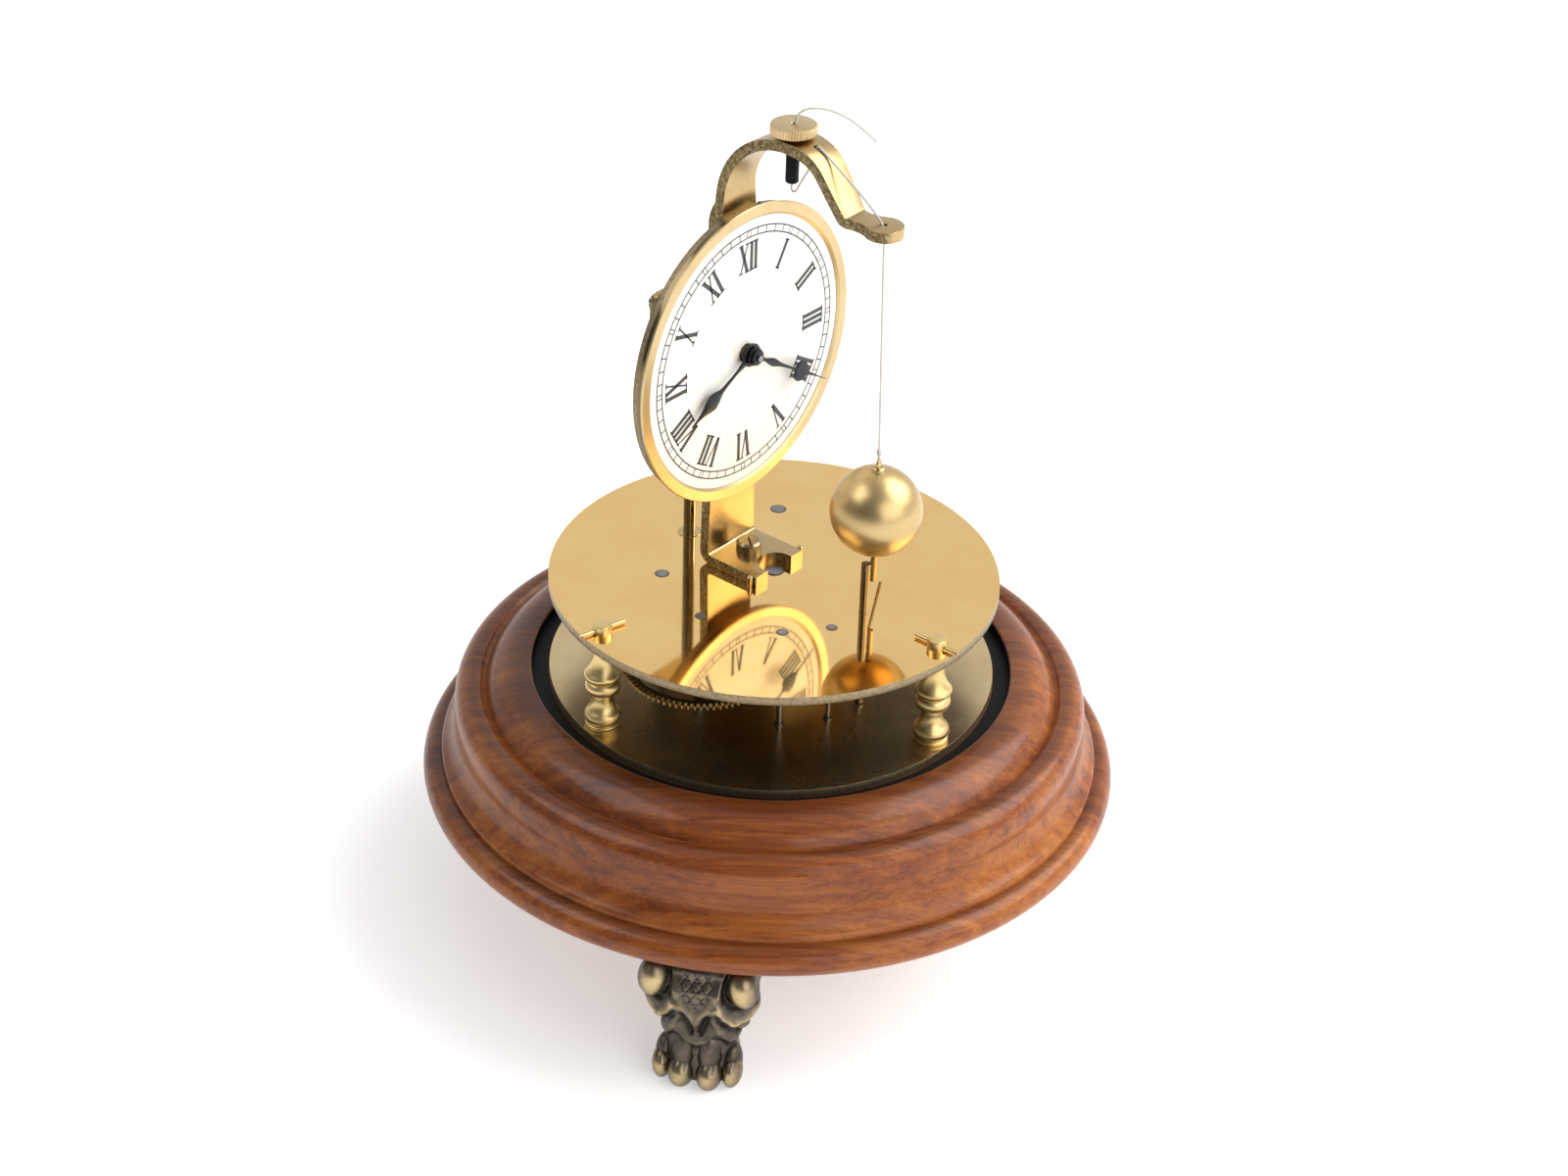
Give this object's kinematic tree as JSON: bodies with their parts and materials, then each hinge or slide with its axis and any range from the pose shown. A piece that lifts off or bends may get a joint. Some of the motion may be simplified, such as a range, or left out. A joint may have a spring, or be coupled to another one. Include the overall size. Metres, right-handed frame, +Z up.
{
  "type": "rotary pendulum clock",
  "caption": "Mantel clock with a ball pendulum on a thread driven round by a crank, a round white dial on a bent brass bracket, and a turned wooden base on claw feet.",
  "frame": {"origin": "on the floor under the centre of the round base, midway across its overall width", "axes": "+Z up, out of the movement plates; the dial faces -Y"},
  "size_m": [0.2004, 0.2008, 0.2482],
  "materials": {
    "base_wood": "varnished",
    "foot_brass": "aged cast",
    "polished_brass": "polished",
    "satin_brass": "satin",
    "steel": "brushed",
    "blued_steel": "blued",
    "dial_white": "satin",
    "thread": "twisted",
    "spring_steel": "polished"
  },
  "bodies": {
    "clock_frame": {"wooden_base": "base_wood", "paw_foot_1": "foot_brass", "paw_foot_2": "foot_brass", "paw_foot_3": "foot_brass", "base_screws": "steel", "lower_plate": "satin_brass", "upper_plate": "polished_brass", "pillar_1": "satin_brass", "pillar_2": "satin_brass", "pillar_3": "satin_brass", "pillar_pins": "steel", "pillar_screws": "steel", "pendulum_bracket": "satin_brass", "bracket_screw": "steel", "bracket_dowels": "steel", "dial_case": "satin_brass", "case_screws": "steel", "dial_bezel": "polished_brass", "dial_disc": "dial_white", "motion_stud": "steel", "rear_bridge": "satin_brass", "bridge_screws": "steel", "motion_cock": "satin_brass", "cock_pillars": "satin_brass", "dial_arbor_bush": "satin_brass", "click_stud": "steel", "click_spring": "spring_steel", "click_spring_screw": "steel", "suspension_thread": "thread"},
    "barrel_group": {"barrel": "satin_brass", "barrel_cover": "satin_brass", "mainspring": "spring_steel"},
    "winding_group": {"barrel_arbor": "steel", "ratchet_wheel": "steel"},
    "click_body": {"click": "steel"},
    "second_group": {"second_arbor": "steel", "second_wheel": "satin_brass"},
    "third_group": {"third_arbor": "steel", "third_wheel": "satin_brass"},
    "fourth_group": {"fourth_arbor": "steel", "fourth_wheel": "satin_brass"},
    "fifth_group": {"fifth_arbor": "steel", "fifth_wheel": "satin_brass"},
    "drive_group": {"drive_arbor": "steel", "crank_wire": "steel"},
    "pendulum": {"pendulum_ball": "polished_brass", "ball_pin": "steel", "ball_eyelet": "satin_brass", "hanging_thread": "thread"},
    "dial_drive": {"dial_drive_arbor": "steel", "lower_bevel": "satin_brass"},
    "minute_drive": {"minute_arbor": "steel", "upper_bevel": "satin_brass"},
    "minute_group": {"cannon_pinion": "satin_brass", "minute_hand": "blued_steel", "hand_collet": "blued_steel"},
    "minute_wheel_body": {"minute_wheel": "satin_brass"},
    "hour_group": {"hour_wheel": "satin_brass", "hour_hand": "blued_steel"},
    "thumb_screw_body": {"thumb_screw": "polished_brass"}
  },
  "joints": [
    {"name": "drive_spin", "type": "hinge", "parent": "clock_frame", "child": "drive_group", "pos_m": [0, -0.032, 0.09], "axis": [0, 0, 1], "continuous": true},
    {"name": "fifth_spin", "type": "hinge", "parent": "clock_frame", "child": "fifth_group", "pos_m": [-0.0121, -0.0305, 0.09], "axis": [0, 0, 1], "continuous": true},
    {"name": "fourth_spin", "type": "hinge", "parent": "clock_frame", "child": "fourth_group", "pos_m": [-0.023, -0.022, 0.09], "axis": [0, 0, 1], "continuous": true},
    {"name": "third_spin", "type": "hinge", "parent": "clock_frame", "child": "third_group", "pos_m": [-0.0317, -0.0003, 0.09], "axis": [0, 0, 1], "continuous": true},
    {"name": "second_spin", "type": "hinge", "parent": "clock_frame", "child": "second_group", "pos_m": [-0.0225, 0.0223, 0.09], "axis": [0, 0, 1], "continuous": true},
    {"name": "barrel_spin", "type": "hinge", "parent": "clock_frame", "child": "barrel_group", "pos_m": [0, 0, 0.09], "axis": [0, 0, 1], "continuous": true},
    {"name": "dial_drive_spin", "type": "hinge", "parent": "clock_frame", "child": "dial_drive", "pos_m": [0, 0.0318, 0.09], "axis": [0, 0, 1], "continuous": true},
    {"name": "minute_arbor_spin", "type": "hinge", "parent": "clock_frame", "child": "minute_drive", "pos_m": [0, 0.025, 0.1725], "axis": [0, 1, 0], "continuous": true},
    {"name": "pendulum_swing", "type": "hinge", "parent": "drive_group", "child": "pendulum", "pos_m": [0, -0.032, 0.223], "axis": [-0.4472, 0.8944, 0], "range_deg": [-6, 0]},
    {"name": "winding_turn", "type": "hinge", "parent": "clock_frame", "child": "winding_group", "pos_m": [0, 0, 0.09], "axis": [0, 0, 1], "range_deg": [0, 2160]},
    {"name": "click_lift", "type": "hinge", "parent": "clock_frame", "child": "click_body", "pos_m": [0.027, 0.021, 0.103], "axis": [0, 0, -1], "range_deg": [0, 9], "stiffness_Nm_per_rad": 0.002, "springref_deg": -8.59},
    {"name": "minute_hand_turn", "type": "hinge", "parent": "clock_frame", "child": "minute_group", "pos_m": [0, 0.012, 0.1725], "axis": [0, 1, 0], "continuous": true},
    {"name": "minute_wheel_turn", "type": "hinge", "parent": "clock_frame", "child": "minute_wheel_body", "pos_m": [0, 0.015, 0.1625], "axis": [0, 1, 0], "continuous": true},
    {"name": "hour_hand_turn", "type": "hinge", "parent": "clock_frame", "child": "hour_group", "pos_m": [0, 0.012, 0.1725], "axis": [0, 1, 0], "continuous": true},
    {"name": "thumb_screw_turn", "type": "hinge", "parent": "clock_frame", "child": "thumb_screw_body", "pos_m": [0, -0.0013, 0.24], "axis": [0, 0, 1], "range_deg": [-1080, 1080]}
  ],
  "couplings": [
    {"joint": "fifth_spin", "follows": "drive_spin", "ratio": -0.125},
    {"joint": "fourth_spin", "follows": "drive_spin", "ratio": 0.015625},
    {"joint": "third_spin", "follows": "drive_spin", "ratio": -0.0016234},
    {"joint": "second_spin", "follows": "drive_spin", "ratio": 0.00016234},
    {"joint": "barrel_spin", "follows": "drive_spin", "ratio": -0.000013528},
    {"joint": "dial_drive_spin", "follows": "drive_spin", "ratio": 0.00016234},
    {"joint": "minute_arbor_spin", "follows": "drive_spin", "ratio": -0.00016234},
    {"joint": "minute_wheel_turn", "follows": "minute_hand_turn", "ratio": -0.33333},
    {"joint": "hour_hand_turn", "follows": "minute_hand_turn", "ratio": 0.083333}
  ]
}
